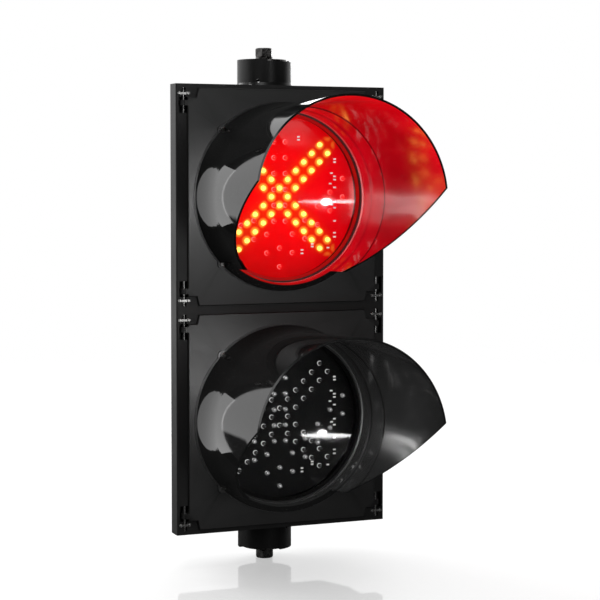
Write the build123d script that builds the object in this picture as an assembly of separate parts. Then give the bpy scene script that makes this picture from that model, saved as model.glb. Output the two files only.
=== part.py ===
from build123d import *
from math import cos, radians, sin, sqrt
import os

# Two-section LED signal head, in millimetres.
# The origin is on the axis of the two mounting hubs, at the end face of the bottom hub.
# The head faces -Y, +X is to the right of someone who looks at its front, and +Z is up.
#
# Each section is drawn in its own frame first: x across, y the depth behind the front face of the
# housing's frame, and z up from the section's middle. to_row() then moves it into the row's frame.

# ---- whole head ----
SECTION = 254.0            # height of one section
WIDTH = 256.0              # width of the housing's front frame
HALF_SECTION = SECTION / 2
HUB_HEIGHT = 32.0
HUB_SETBACK = 58.0         # from the frame's front face back to the hubs' axis
SECTION_MIDDLES = {
    "lower": HUB_HEIGHT + HALF_SECTION,
    "upper": HUB_HEIGHT + HALF_SECTION + SECTION,
}
HEAD_TOP = HUB_HEIGHT + 2 * SECTION

# ---- housing ----
FRAME_DEPTH = 21.0
WALL = 3.0
BODY_HALF_WIDTH = 109.0
BODY_BACK_HALF_WIDTH = 92.0
BODY_STRAIGHT_DEPTH = 58.0
BODY_DEPTH = 104.0
BODY_CORNER = 10.0
OPENING_HALF_WIDTH = 106.0
OPENING_HALF_HEIGHT = 111.0
OPENING_CORNER = 14.0
FRAME_EDGE = 1.6           # rounding of the frame's outer edges
WIRE_HOLE_RADIUS = 22.0    # in the top and bottom wall of each housing, round the hubs' axis
STEP_MARGIN = 1.0          # how far a cutting tool runs past the face that it cuts

# ---- door ----
DOOR_GAP = 0.3             # between the door's back and the frame's front
DOOR_PLATE = 3.0
DOOR_HALF_WIDTH = 115.0
DOOR_HALF_HEIGHT = HALF_SECTION - 4.8
DOOR_NOTCH_OUTER = 13.0    # the corner notches' width at the door's end, and at their inner side
DOOR_NOTCH_INNER = 10.4
DOOR_NOTCH_HEIGHT = 10.6
DOOR_EDGE = 1.1
DOOR_HOLE_RADIUS = 96.0
DOOR_BACK = -DOOR_GAP
DOOR_FRONT = DOOR_BACK - DOOR_PLATE
SKIRT_HALF_WIDTH = 104.5
SKIRT_HALF_HEIGHT = 109.5
SKIRT_CORNER = 12.5
SKIRT_WALL = 2.2
SKIRT_DEPTH = 8.0

# ---- door pins, their pockets and knuckles ----
PIN_RADIUS = 1.5
PIN_X = 118.5
PIN_Y = 2.5
POCKET_START = 4.5         # from the section's end to the pocket
POCKET_END = 33.0
POCKET_INNER_X = 114.0
POCKET_OUTER_X = 124.8     # wide enough for the hinge's arm when the door stands open
POCKET_DEPTH = 8.0
PIN_GRIP = 2.5             # how deep each end of a pin sits in the frame
PIN_TRAVEL = 24.0          # slide that draws a latch pin out of its hook
RUNNING_CLEARANCE = 0.05
KNUCKLE_RADIUS = 4.0
KNUCKLE_LENGTH = 6.0
KNUCKLE_FROM_END = 21.5
HOOK_CLEARANCE = 0.25
POCKET_NARROW_END = 15.0   # the first stretch of the pocket is only a little wider than the pin
POCKET_NARROW_HALF = 2.3
CLIP_FROM_END = 11.0       # the steel strip that bridges the pocket and keeps the pin in it
CLIP_HALF_LENGTH = 7.0
CLIP_HALF_HEIGHT = 1.2
CLIP_FRONT = 0.0           # flush with the frame, which the screw heads rest on too
CLIP_BACK = 0.5
CLIP_SCREW_OFFSET = 4.9
CLIP_SCREW_HEAD = 1.9
CLIP_SCREW_SHANK = 1.0
CLIP_SCREW_LENGTH = 5.0
CLIP_SCREW_ROUND = 0.7     # the head's rounding, as a share of its height

# ---- gaskets ----
DOOR_SEAL_HALF_WIDTH = 110.0
DOOR_SEAL_HALF_HEIGHT = 115.0
DOOR_SEAL_CORNER = 20.0
DOOR_SEAL_SIZE = 3.5
DOOR_SEAL_DEPTH = 2.5
JOINT_SEAL_INNER = 24.0
JOINT_SEAL_OUTER = 33.0
JOINT_SEAL_DEPTH = 1.5
LENS_SEAL_INNER = 92.5
LENS_SEAL_DEPTH = 1.5

# ---- visor ----
VISOR_FLANGE_RADIUS = 108.5
VISOR_FLANGE = 3.0
VISOR_BASE_RADIUS = 101.0
VISOR_FLARE = 0.042        # growth of the radius per millimetre forward
VISOR_WALL = 2.4
NECK_LENGTH = 60.0         # the hood's outside narrows in a smooth curve over this distance from the frame
NECK_START_SLOPE = -0.20   # growth of the radius per millimetre where the curve leaves the flange
SCREW_RELIEF = 50.0        # length of the screwdriver's groove along the neck
VISOR_LENGTH = 199.5       # from the frame's front face to the hood's tips
VISOR_TOP_LENGTH = 195.5   # the same, to the middle of the hood's front edge
COLLAR_LENGTH = 16.0
SEAT_RADIUS = 98.0         # inside of the collar, round the lens
STEP_ONE = 26.0            # two small steps inside the hood, and their distance in front
STEP_TWO = 60.0
STEP_HEIGHT = 0.9
TIP_Z = 15.0               # the tips' height above the lens centre
SWEEP_START = (COLLAR_LENGTH, -83.0)
SWEEP_KNEE = (46.0, -82.5)
SWEEP_MIDDLE = (127.0, -28.5)
SCREW_ANGLES = (45, 135, 225, 315)
VISOR_SCREW_RADIUS = 106.5
VISOR_LUG_RADIUS = 5.5
VISOR_TURN = {"lower": -0.6, "upper": -2.2}   # degrees that each visor sits turned on its slots

# ---- LED module ----
MODULE_RADIUS = 99.5
LENS_RADIUS = 98.5
LENS_THICKNESS = 3.0
LENS_FRONT = DOOR_BACK + LENS_SEAL_DEPTH
LENS_BACK = LENS_FRONT + LENS_THICKNESS
MODULE_FLANGE_BACK = LENS_BACK + 3.0
BOARD_FRONT = 11.0
BOARD_THICKNESS = 1.6
BOARD_BACK = BOARD_FRONT + BOARD_THICKNESS
BOARD_RADIUS = 94.0
LEDGE_RADIUS = 91.0
SHELL_RADIUS = 96.5
SHELL_BACK_RADIUS = 80.0
SHELL_SHOULDER = 34.0
SHELL_BACK = 54.0
SHELL_WALL = 2.0
WIRE_OUTLET_RADIUS = 8.0
WIRE_OUTLET_Z = -40.0
LED_RADIUS = 2.5
LED_HEIGHT = 5.3
LATTICE = 10.0             # half the pitch of the cross's LEDs
CROSS_REACH = 6            # the cross ends this many lattice steps from the middle
SHAFT_HALF_WIDTH = 7.0
SHAFT_ROWS = 6
SHAFT_TOP = 63.0
SHAFT_PITCH = 18.2
BARB_APEXES = (-59.0, -80.5)
BARB_STEPS = 5
BARB_STEP_X = 15.8
BARB_STEP_Z = 16.0
LED_FLANGE_RADIUS = 2.9
LED_FLANGE = 1.0
CHIP = (3.2, 0.7, 1.6)     # one resistor, along x, y and z
CHIP_COLUMN_X = 69.0       # most resistors stand in a column beside the arrow's right barb
CHIP_COLUMN = (43.5, 40.0, 23.4, 19.6, 10.6, -6.0, -13.0, -28.3, -42.2, -46.8)
CHIP_OTHERS = (            # x and z of those beside the column and below it
    (23.5, 69.0), (23.5, 65.5), (65.0, 27.2), (63.5, 15.0), (65.5, -9.5), (60.7, -59.4),
    (40.8, -54.8), (40.8, -57.8), (28.0, -61.6), (28.0, -65.6),
)

# ---- driver board behind the LED board ----
DRIVER_SIZE = (110.0, 76.0)
DRIVER_FRONT = 34.0
DRIVER_SCREW_GRIP = 6.0    # how deep the driver board's screws reach into their posts
TRANSFORMER_X = (-42.0, -14.0)
TRANSFORMER_Z = (-12.0, 14.0)
TRANSFORMER_HEIGHT = 16.0
CAPACITOR_X = (4.0, 22.0)
CAPACITOR_Z = 12.0
CAPACITOR_RADIUS = 7.0
CAPACITOR_HEIGHT = 18.0
BALLASTS = 5               # power resistors in a row
BALLAST_START = -6.0
BALLAST_PITCH = 9.0
BALLAST_WIDTH = 5.0
BALLAST_Z = (-26.0, -10.0)
DRIVER_POST_X = 48.0
DRIVER_POST_Z = 31.0
POST_RADIUS = 4.0
SCREW_SHANK = 1.5
CROSS_SLOT_SHARE = 0.6     # how far the cross slot reaches over a screw's head

# ---- module clips ----
BOSS_RADIUS = 5.0
BOSS_RING = 113.0          # the bosses' distance from the lens centre
CLIP_WIDTH = 10.0
CLIP_THICKNESS = 1.5
CLIP_INNER = MODULE_RADIUS - 2.5   # the clip's nose, over the module's rim

# ---- hubs and their bolts ----
HUB_RADIUS = 31.5
HUB_BASE_RADIUS = 33.3
HUB_BASE_HEIGHT = 5.0
HUB_WALL = 4.0
HUB_PLATE = 6.0
HUB_SPIGOT = 3.0
HUB_RIM_HEIGHT = 2.5       # the rim that stands round part of the washer
HUB_RIM_CUT_X = -7.6       # right of this the rim is cut away
HUB_HOLE_RADIUS = 2.1
HUB_HOLES = ((-15.9, 3.0), (-6.4, 6.6))   # offset from the axis, and height, of the two drain holes
HUB_HOLE_TURN = -22.5      # the drain holes' direction
HUB_SCREW_RING = 26.0
HUB_SCREW_HEAD = 3.6
HUB_SCREW_GRIP = 7.2       # how deep these screws reach into the hub's foot
BOLT_RADIUS = 6.0
BOLT_HOLE_RADIUS = 6.6
BOLT_LENGTH = 26.0
HEX_ACROSS = 19.0
HEX_HEIGHT = 10.5
HEX_CAP_RATIO = 1.12       # the turned blank's radius over half the width across the flats
HEX_EASE = 0.14            # how much of a hexagon's height its corners are eased
NUT_HEIGHT = 10.0
WASHER_RADIUS = 26.5
WASHER_THICKNESS = 2.6
SPRING_WASHER_RADIUS = 10.0
SPRING_WASHER_THICKNESS = 3.4
SPRING_GAP = 2.0
SPRING_SLANT = 25          # degrees that the gap leans

# ---- bolts between the two sections ----
JOINT_BOLT_X = 42.0
JOINT_BOLT_Y = 22.0
JOINT_BOLT_RADIUS = 3.0
JOINT_HEX_ACROSS = 10.0
JOINT_HEX_HEIGHT = 4.0

# ---- terminal block ----
TERMINALS = 6
TERMINAL_PITCH = 12.0
TERMINAL_HEIGHT = 26.0
TERMINAL_DEPTH = 18.0
TERMINAL_Z = -78.0
TERMINAL_END = 2.0         # the block's wall past its last terminal
TERMINAL_WELL = 4.0        # depth of the round wells over the screws
TERMINAL_SCREW = 2.0       # height of a terminal screw's head
TERMINAL_SLOT_HALF = 0.4

SIDES = (-1, 1)


def block(x_range, y_range, z_range):
    """A box from its limits on each axis."""
    size = [high - low for low, high in (x_range, y_range, z_range)]
    middle = [(high + low) / 2 for low, high in (x_range, y_range, z_range)]
    return Pos(*middle) * Box(*size)


def disc_y(radius, y_front, y_back):
    """A round disc or rod along Y."""
    return Pos(0, (y_front + y_back) / 2, 0) * Rot(X=90) * Cylinder(radius, abs(y_back - y_front))


def rod_z(radius, z_low, z_high, x=0.0, y=0.0):
    """A round disc or rod along Z."""
    return Pos(x, y, (z_low + z_high) / 2) * Cylinder(radius, z_high - z_low)


def rounded_slab(half_width, half_height, corner, y_front, y_back):
    """A plate with rounded corners that stands across Y."""
    outline = Plane.XZ * RectangleRounded(2 * half_width, 2 * half_height, corner)
    return Pos(0, y_front, 0) * extrude(outline, -(y_back - y_front))


def hex_z(across, z_low, height):
    """A hexagonal prism along Z with its outer corners eased."""
    prism = Pos(0, 0, z_low) * extrude(RegularPolygon(across / 2, 6, major_radius=False), height)
    cap = Pos(0, 0, z_low + height / 2) * Cylinder(HEX_CAP_RATIO * across / 2, height)
    cap = chamfer(cap.edges().filter_by(GeomType.CIRCLE), HEX_EASE * height)
    return prism & cap


def at_angle(degrees, radius):
    """x and z of a point on a circle round the section's middle."""
    return radius * cos(radians(degrees)), radius * sin(radians(degrees))


def to_row(shape, section):
    """Moves a shape from its section's frame into the row's frame."""
    return Pos(0, -HUB_SETBACK, SECTION_MIDDLES[section]) * shape


def group(solids):
    """Separate solids that share one node."""
    return Compound(children=[Part() + solid for solid in solids])


# ---- housing ----

def body_prism(half_width, back_half_width, depth, front, half_height, corner):
    """The housing body's plan, straight then tapering to the back, drawn up to its full height."""
    plan = make_face(Polyline(
        (-half_width, front), (-half_width, BODY_STRAIGHT_DEPTH), (-back_half_width, depth),
        (back_half_width, depth), (half_width, BODY_STRAIGHT_DEPTH), (half_width, front),
        close=True,
    ))
    rear = plan.vertices().filter_by(lambda vertex: vertex.Y > front + 1)
    return Pos(0, 0, -half_height) * extrude(fillet(rear, corner), 2 * half_height)


def end_span(start, stop, end):
    """Limits in z from two distances below a section's top end, or above its bottom end."""
    return sorted((end * (HALF_SECTION - start), end * (HALF_SECTION - stop)))


def pin_pocket(side, end):
    """The pocket in the frame that one door pin crosses, and the seat of the strip that bridges it."""
    wide_x = sorted((side * POCKET_INNER_X, side * POCKET_OUTER_X))
    narrow_x = (side * PIN_X - POCKET_NARROW_HALF, side * PIN_X + POCKET_NARROW_HALF)
    depth = (-STEP_MARGIN, POCKET_DEPTH)
    cut = block(wide_x, depth, end_span(POCKET_NARROW_END, POCKET_END, end))
    cut += block(narrow_x, depth, end_span(POCKET_START, POCKET_NARROW_END, end))
    clip_z = (CLIP_FROM_END - CLIP_HALF_HEIGHT, CLIP_FROM_END + CLIP_HALF_HEIGHT)
    clip_x = (side * PIN_X - CLIP_HALF_LENGTH, side * PIN_X + CLIP_HALF_LENGTH)
    cut += block(clip_x, (-STEP_MARGIN, CLIP_BACK), end_span(*clip_z, end))
    for x, z in clip_screw_places(side, end):
        cut += Pos(x, 0, z) * disc_y(
            CLIP_SCREW_SHANK + RUNNING_CLEARANCE, 0, CLIP_SCREW_LENGTH + RUNNING_CLEARANCE,
        )
    return cut


def clip_screw_places(side, end):
    z = end * (HALF_SECTION - CLIP_FROM_END)
    return [(side * PIN_X + offset, z) for offset in (-CLIP_SCREW_OFFSET, CLIP_SCREW_OFFSET)]


def pin_clip(side, end):
    """The thin steel strip in front of one pin."""
    clip_z = (CLIP_FROM_END - CLIP_HALF_HEIGHT, CLIP_FROM_END + CLIP_HALF_HEIGHT)
    clip_x = (side * PIN_X - CLIP_HALF_LENGTH, side * PIN_X + CLIP_HALF_LENGTH)
    strip = block(clip_x, (CLIP_FRONT, CLIP_BACK), end_span(*clip_z, end))
    for x, z in clip_screw_places(side, end):
        strip -= Pos(x, 0, z) * disc_y(CLIP_SCREW_SHANK + RUNNING_CLEARANCE, CLIP_FRONT, CLIP_BACK)
    return strip


def pin_clip_screws(side, end):
    """The two small round-head screws of one strip."""
    head = disc_y(CLIP_SCREW_HEAD, CLIP_FRONT - CLIP_SCREW_SHANK, CLIP_FRONT)
    head = fillet(head.edges().sort_by(Axis.Y)[0], CLIP_SCREW_SHANK * CLIP_SCREW_ROUND)
    screw = head + disc_y(CLIP_SCREW_SHANK, CLIP_FRONT, CLIP_SCREW_LENGTH)
    return [Pos(x, 0, z) * screw for x, z in clip_screw_places(side, end)]


def pin_bore(side, end):
    """The holes at both ends of a pocket; a latch pin's far hole is long enough for its travel."""
    radius = PIN_RADIUS if side < 0 else PIN_RADIUS + RUNNING_CLEARANCE
    near = HALF_SECTION - POCKET_START + PIN_GRIP
    far = HALF_SECTION - POCKET_END - PIN_GRIP
    if side > 0:
        far -= PIN_TRAVEL + RUNNING_CLEARANCE
        near += RUNNING_CLEARANCE
    low, high = sorted((end * near, end * far))
    return rod_z(radius, low, high, side * PIN_X, PIN_Y)


def seal_ring(margin=0.0):
    """The door gasket, or the groove for it."""
    half = DOOR_SEAL_SIZE / 2
    outer = rounded_slab(
        DOOR_SEAL_HALF_WIDTH + half, DOOR_SEAL_HALF_HEIGHT + half, DOOR_SEAL_CORNER + half,
        -margin, DOOR_SEAL_DEPTH,
    )
    inner = rounded_slab(
        DOOR_SEAL_HALF_WIDTH - half, DOOR_SEAL_HALF_HEIGHT - half, DOOR_SEAL_CORNER - half,
        -margin, DOOR_SEAL_DEPTH,
    )
    return outer - inner


def joint_bolt_places():
    """The four bolts round the wire hole, in the section's frame."""
    return [(i * JOINT_BOLT_X, HUB_SETBACK + j * JOINT_BOLT_Y) for i in SIDES for j in SIDES]


def housing(section):
    """One section's housing: a square front frame and a box-shaped body behind it."""
    frame = block((-WIDTH / 2, WIDTH / 2), (0, FRAME_DEPTH), (-HALF_SECTION, HALF_SECTION))
    frame = fillet(frame.edges().filter_by(Axis.Z), FRAME_EDGE)
    body = body_prism(
        BODY_HALF_WIDTH, BODY_BACK_HALF_WIDTH, BODY_DEPTH, FRAME_DEPTH / 2, HALF_SECTION, BODY_CORNER,
    )
    cavity = body_prism(
        OPENING_HALF_WIDTH, BODY_BACK_HALF_WIDTH - WALL, BODY_DEPTH - WALL, FRAME_DEPTH / 2,
        HALF_SECTION - WALL, BODY_CORNER - WALL,
    )
    mouth = rounded_slab(
        OPENING_HALF_WIDTH, OPENING_HALF_HEIGHT, OPENING_CORNER, -STEP_MARGIN, FRAME_DEPTH,
    )
    shape = frame + body - cavity - mouth
    shape -= rod_z(WIRE_HOLE_RADIUS, -SECTION, SECTION, 0, HUB_SETBACK)
    shape -= seal_ring(STEP_MARGIN)
    for side in SIDES:
        for end in SIDES:
            shape -= pin_pocket(side, end)
            shape -= pin_bore(side, end)
    joint_end = 1 if section == "lower" else -1
    wall_limits = sorted((joint_end * SECTION, joint_end * OPENING_HALF_HEIGHT))
    for x, y in joint_bolt_places():
        shape -= rod_z(JOINT_BOLT_RADIUS, *wall_limits, x, y)
    if section == "lower":
        low = HALF_SECTION - JOINT_SEAL_DEPTH
        shape -= joint_ring(low, HALF_SECTION + STEP_MARGIN)
    for x, y in hub_screw_places():
        limits = sorted((-joint_end * SECTION, -joint_end * OPENING_HALF_HEIGHT))
        shape -= rod_z(SCREW_SHANK, *limits, x, y + HUB_SETBACK)
    return shape


def joint_ring(z_low, z_high):
    """The ring between the two sections, in the section's frame."""
    outer = rod_z(JOINT_SEAL_OUTER, z_low, z_high, 0, HUB_SETBACK)
    return outer - rod_z(JOINT_SEAL_INNER, z_low, z_high, 0, HUB_SETBACK)


# ---- door, its pins and gasket ----

def knuckle(side, end):
    """The eye round a hinge pin, or the hook that is open to the back round a latch pin."""
    middle = end * (HALF_SECTION - KNUCKLE_FROM_END)
    limits = (middle - KNUCKLE_LENGTH / 2, middle + KNUCKLE_LENGTH / 2)
    arm_x = sorted((side * PIN_X, side * (DOOR_HALF_WIDTH - DOOR_PLATE)))
    shape = rod_z(KNUCKLE_RADIUS, *limits, side * PIN_X, PIN_Y)
    shape += block(arm_x, (DOOR_FRONT, DOOR_BACK), limits)
    if side < 0:
        return shape - rod_z(PIN_RADIUS + RUNNING_CLEARANCE, *limits, side * PIN_X, PIN_Y)
    slot_half = PIN_RADIUS + HOOK_CLEARANCE
    shape -= rod_z(slot_half, *limits, side * PIN_X, PIN_Y)
    return shape - block(
        (side * PIN_X - slot_half, side * PIN_X + slot_half), (PIN_Y, PIN_Y + 2 * KNUCKLE_RADIUS), limits,
    )


def door_notch(side, end):
    """The outline of one corner notch, narrower at its inner side."""
    x, z = side * DOOR_HALF_WIDTH, end * DOOR_HALF_HEIGHT
    inner_z = end * (DOOR_HALF_HEIGHT - DOOR_NOTCH_HEIGHT)
    return make_face(Plane.XZ * Polyline(
        (x, z), (side * (DOOR_HALF_WIDTH - DOOR_NOTCH_OUTER), z),
        (side * (DOOR_HALF_WIDTH - DOOR_NOTCH_INNER), inner_z), (x, inner_z), close=True,
    ))


def door_plate():
    """The raised panel: a square plate with a notch out of each corner and rounded front edges."""
    outline = Plane.XZ * Rectangle(2 * DOOR_HALF_WIDTH, 2 * DOOR_HALF_HEIGHT)
    for side in SIDES:
        for end in SIDES:
            outline -= door_notch(side, end)
    plate = Pos(0, DOOR_FRONT, 0) * extrude(outline, -DOOR_PLATE)
    front_edges = plate.faces().sort_by(Axis.Y)[0].edges()
    return fillet(front_edges, DOOR_EDGE)


def door():
    """The panel with a skirt behind it, a round hole for the lens, eyes, hooks and clip bosses."""
    shape = door_plate()
    skirt = rounded_slab(SKIRT_HALF_WIDTH, SKIRT_HALF_HEIGHT, SKIRT_CORNER, DOOR_BACK, SKIRT_DEPTH)
    skirt -= rounded_slab(
        SKIRT_HALF_WIDTH - SKIRT_WALL, SKIRT_HALF_HEIGHT - SKIRT_WALL, SKIRT_CORNER - SKIRT_WALL,
        DOOR_BACK, SKIRT_DEPTH,
    )
    shape += skirt
    for angle in SCREW_ANGLES:
        x, z = at_angle(angle, BOSS_RING)
        shape += Pos(x, 0, z) * disc_y(BOSS_RADIUS, DOOR_BACK, MODULE_FLANGE_BACK)
    shape -= disc_y(DOOR_HOLE_RADIUS, DOOR_FRONT - STEP_MARGIN, DOOR_BACK + STEP_MARGIN)
    for angle in SCREW_ANGLES:
        x, z = at_angle(angle, VISOR_SCREW_RADIUS)
        shape -= Pos(x, 0, z) * disc_y(SCREW_SHANK, DOOR_FRONT - STEP_MARGIN, visor_screw_end())
        x, z = at_angle(angle, BOSS_RING)
        depth = (LENS_BACK - STEP_MARGIN, MODULE_FLANGE_BACK + STEP_MARGIN)
        shape -= Pos(x, 0, z) * disc_y(SCREW_SHANK, *depth)
    for side in SIDES:
        for end in SIDES:
            shape += knuckle(side, end)
    return shape


def pin(side, end):
    """One steel door pin at rest."""
    near = HALF_SECTION - POCKET_START + PIN_GRIP
    far = HALF_SECTION - POCKET_END - PIN_GRIP
    low, high = sorted((end * near, end * far))
    return rod_z(PIN_RADIUS, low, high, side * PIN_X, PIN_Y)


# ---- visor ----

def visor_radius(length):
    """Outside radius of the hood at a distance in front of the frame."""
    return VISOR_BASE_RADIUS + VISOR_FLARE * length


def neck_radius(length):
    """Outside radius of the neck: its slope grows evenly from the flange's to the hood's own flare."""
    left = NECK_LENGTH - length
    slope_change = (VISOR_FLARE - NECK_START_SLOPE) / (NECK_LENGTH - VISOR_FLANGE + DOOR_FRONT)
    return visor_radius(NECK_LENGTH) - VISOR_FLARE * left + slope_change * left ** 2 / 2


def hood_tube():
    """The whole tube before its lower part is cut away, with two small steps inside."""
    base = -DOOR_FRONT
    neck_start = base + VISOR_FLANGE
    neck_middle = (neck_start + NECK_LENGTH) / 2
    reach = VISOR_LENGTH + STEP_MARGIN
    inner_end = visor_radius(reach) - VISOR_WALL
    inner_two = visor_radius(STEP_TWO) - VISOR_WALL
    inner_one = inner_two - STEP_HEIGHT
    neck = ThreePointArc(
        (neck_radius(neck_start), -neck_start), (neck_radius(neck_middle), -neck_middle),
        (visor_radius(NECK_LENGTH), -NECK_LENGTH),
    )
    rest = Polyline(
        neck @ 1, (visor_radius(reach), -reach), (inner_end, -reach),
        (inner_two, -STEP_TWO), (inner_one, -STEP_TWO), (inner_one, -STEP_ONE), (SEAT_RADIUS, -STEP_ONE),
        (SEAT_RADIUS, -base), (VISOR_FLANGE_RADIUS, -base), (VISOR_FLANGE_RADIUS, -neck_start), neck @ 0,
    )
    return revolve(make_face(neck + rest), Axis.Y)


def sweep_cut():
    """The space under the hood: everything below its swept lower edges, in front of the collar."""
    collar, knee, middle = SWEEP_START, SWEEP_KNEE, SWEEP_MIDDLE
    tip = (VISOR_LENGTH, TIP_Z)
    far = 2 * VISOR_LENGTH
    edge = Line(collar, knee) + ThreePointArc(knee, middle, tip)
    front = Polyline(
        tip, (VISOR_TOP_LENGTH, visor_radius(far)), (far, visor_radius(far)), (far, -far),
        (COLLAR_LENGTH, -far), collar,
    )
    side_view = make_face(edge + front)
    # the side view's first axis is the distance forward, -Y
    across = Plane(origin=(-far, 0, 0), x_dir=(0, -1, 0), z_dir=(-1, 0, 0))
    return extrude(across * side_view, -2 * far)


def visor_lug(angle):
    """A small round ear on the visor's flange, with a clear hole for its screw."""
    x, z = at_angle(angle, VISOR_SCREW_RADIUS)
    lug = Pos(x, 0, z) * disc_y(VISOR_LUG_RADIUS, DOOR_FRONT - VISOR_FLANGE, DOOR_FRONT)
    return lug - disc_y(VISOR_BASE_RADIUS - VISOR_WALL, DOOR_FRONT - VISOR_FLANGE, DOOR_FRONT)


def visor(section):
    """Flange, collar all round the lens and the long hood above."""
    hood = Rot(Y=-VISOR_TURN[section]) * (hood_tube() - sweep_cut())
    for angle in SCREW_ANGLES:
        hood += visor_lug(angle)
    for angle in SCREW_ANGLES:
        x, z = at_angle(angle, VISOR_SCREW_RADIUS)
        well = disc_y(screw_head_radius(), DOOR_FRONT - SCREW_RELIEF, DOOR_FRONT - VISOR_FLANGE)
        hole = disc_y(SCREW_SHANK, DOOR_FRONT - VISOR_FLANGE, DOOR_FRONT)
        hood -= Pos(x, 0, z) * (well + hole)
    return hood


def screw_head_radius():
    return 2 * SCREW_SHANK


def visor_screw_end():
    """How deep the visor's screws reach into the door's plate."""
    return DOOR_BACK - SCREW_SHANK / 2


def pan_screw(y_head_back, y_end):
    """A small pan-head screw along Y, its head in front."""
    head = disc_y(screw_head_radius(), y_head_back - SCREW_SHANK, y_head_back)
    head = fillet(head.edges().sort_by(Axis.Y)[0], SCREW_SHANK / 2)
    slot_half = SCREW_SHANK / 4
    reach = CROSS_SLOT_SHARE * screw_head_radius()
    for turn in (0, 90):
        slot = block(
            (-reach, reach), (y_head_back - 2 * SCREW_SHANK, y_head_back - SCREW_SHANK / 2),
            (-slot_half, slot_half),
        )
        head -= Rot(Y=turn) * slot
    return head + disc_y(SCREW_SHANK, y_head_back, y_end)


def back_screw(y_head_front, y_end):
    """The same screw driven from behind."""
    return Pos(0, y_head_front, 0) * Rot(X=180) * pan_screw(0, y_head_front - y_end)


def ring_of(make, radius):
    """The same piece at each of the four corner angles."""
    places = [at_angle(angle, radius) for angle in SCREW_ANGLES]
    return group([Pos(x, 0, z) * make() for x, z in places])


# ---- LED module ----

def lens_gasket():
    outer = disc_y(MODULE_RADIUS, DOOR_BACK, LENS_FRONT)
    return outer - disc_y(LENS_SEAL_INNER, DOOR_BACK, LENS_FRONT)


def lens():
    """The clear, flat front disc."""
    return disc_y(LENS_RADIUS, LENS_FRONT, LENS_BACK)


def module_shell():
    """The module's back shell: a stepped cup with a rim that holds the lens and a ledge for the board."""
    outer = make_face(Polyline(
        (0, LENS_FRONT), (MODULE_RADIUS, LENS_FRONT), (MODULE_RADIUS, MODULE_FLANGE_BACK),
        (SHELL_RADIUS, MODULE_FLANGE_BACK), (SHELL_RADIUS, SHELL_SHOULDER),
        (SHELL_BACK_RADIUS, SHELL_BACK), (0, SHELL_BACK), close=True,
    ))
    inner = make_face(Polyline(
        (0, LENS_FRONT), (LENS_RADIUS, LENS_FRONT), (LENS_RADIUS, LENS_BACK), (BOARD_RADIUS, LENS_BACK),
        (BOARD_RADIUS, BOARD_BACK), (LEDGE_RADIUS, BOARD_BACK), (LEDGE_RADIUS, SHELL_SHOULDER),
        (SHELL_BACK_RADIUS - 2 * SHELL_WALL, SHELL_BACK - SHELL_WALL), (0, SHELL_BACK - SHELL_WALL),
        close=True,
    ))
    shape = revolve(outer, Axis.Y) - revolve(inner, Axis.Y)
    for x, z in driver_posts():
        post = Pos(x, 0, z) * disc_y(POST_RADIUS, driver_back(), SHELL_BACK - SHELL_WALL / 2)
        shape += post
        shape -= Pos(x, 0, z) * disc_y(SCREW_SHANK, driver_back() - STEP_MARGIN, driver_screw_end())
    outlet = disc_y(WIRE_OUTLET_RADIUS, SHELL_BACK - SHELL_WALL - STEP_MARGIN, SHELL_BACK + STEP_MARGIN)
    return shape - Pos(0, 0, WIRE_OUTLET_Z) * outlet


def led_places_cross():
    """The cross: two double diagonals of LEDs on a square lattice."""
    steps = range(-CROSS_REACH, CROSS_REACH + 1)
    return [(i * LATTICE, j * LATTICE) for i in steps for j in steps if abs(abs(i) - abs(j)) == 1]


def led_places_arrow():
    """The down arrow: a double shaft and two V strokes."""
    places = [
        (side * SHAFT_HALF_WIDTH, SHAFT_TOP - row * SHAFT_PITCH)
        for side in SIDES for row in range(SHAFT_ROWS)
    ]
    for apex in BARB_APEXES:
        places += [
            (step * BARB_STEP_X, apex + abs(step) * BARB_STEP_Z)
            for step in range(-BARB_STEPS, BARB_STEPS + 1)
        ]
    return places


def led():
    """A round LED that stands forward from the board: a thin flange, a body and a domed end."""
    shoulder = BOARD_FRONT - LED_HEIGHT + LED_RADIUS
    tip = BOARD_FRONT - LED_HEIGHT
    foot = Polyline(
        (0, tip), (0, BOARD_FRONT), (LED_FLANGE_RADIUS, BOARD_FRONT),
        (LED_FLANGE_RADIUS, BOARD_FRONT - LED_FLANGE), (LED_RADIUS, BOARD_FRONT - LED_FLANGE),
        (LED_RADIUS, shoulder),
    )
    dome = ThreePointArc(
        (LED_RADIUS, shoulder), (LED_RADIUS / sqrt(2), shoulder - LED_RADIUS / sqrt(2)), (0, tip),
    )
    return revolve(make_face(foot + dome), Axis.Y)


def leds_at(places):
    return group([Pos(x, 0, z) * led() for x, z in places])


def resistors():
    """The small resistors between the LEDs, on the right half of the board."""
    width, depth, height = CHIP
    chip = block((-width / 2, width / 2), (BOARD_FRONT - depth, BOARD_FRONT), (-height / 2, height / 2))
    places = [(CHIP_COLUMN_X, z) for z in CHIP_COLUMN] + list(CHIP_OTHERS)
    return group([Pos(x, 0, z) * chip for x, z in places])


def driver_posts():
    return [(x, z) for x in (-DRIVER_POST_X, DRIVER_POST_X) for z in (-DRIVER_POST_Z, DRIVER_POST_Z)]


def driver_back():
    return DRIVER_FRONT + BOARD_THICKNESS


def driver_screw_end():
    return driver_back() + DRIVER_SCREW_GRIP


def driver_board():
    width, height = DRIVER_SIZE
    shape = block((-width / 2, width / 2), (DRIVER_FRONT, driver_back()), (-height / 2, height / 2))
    for x, z in driver_posts():
        shape -= Pos(x, 0, z) * disc_y(SCREW_SHANK, DRIVER_FRONT, driver_back())
    return shape


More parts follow.
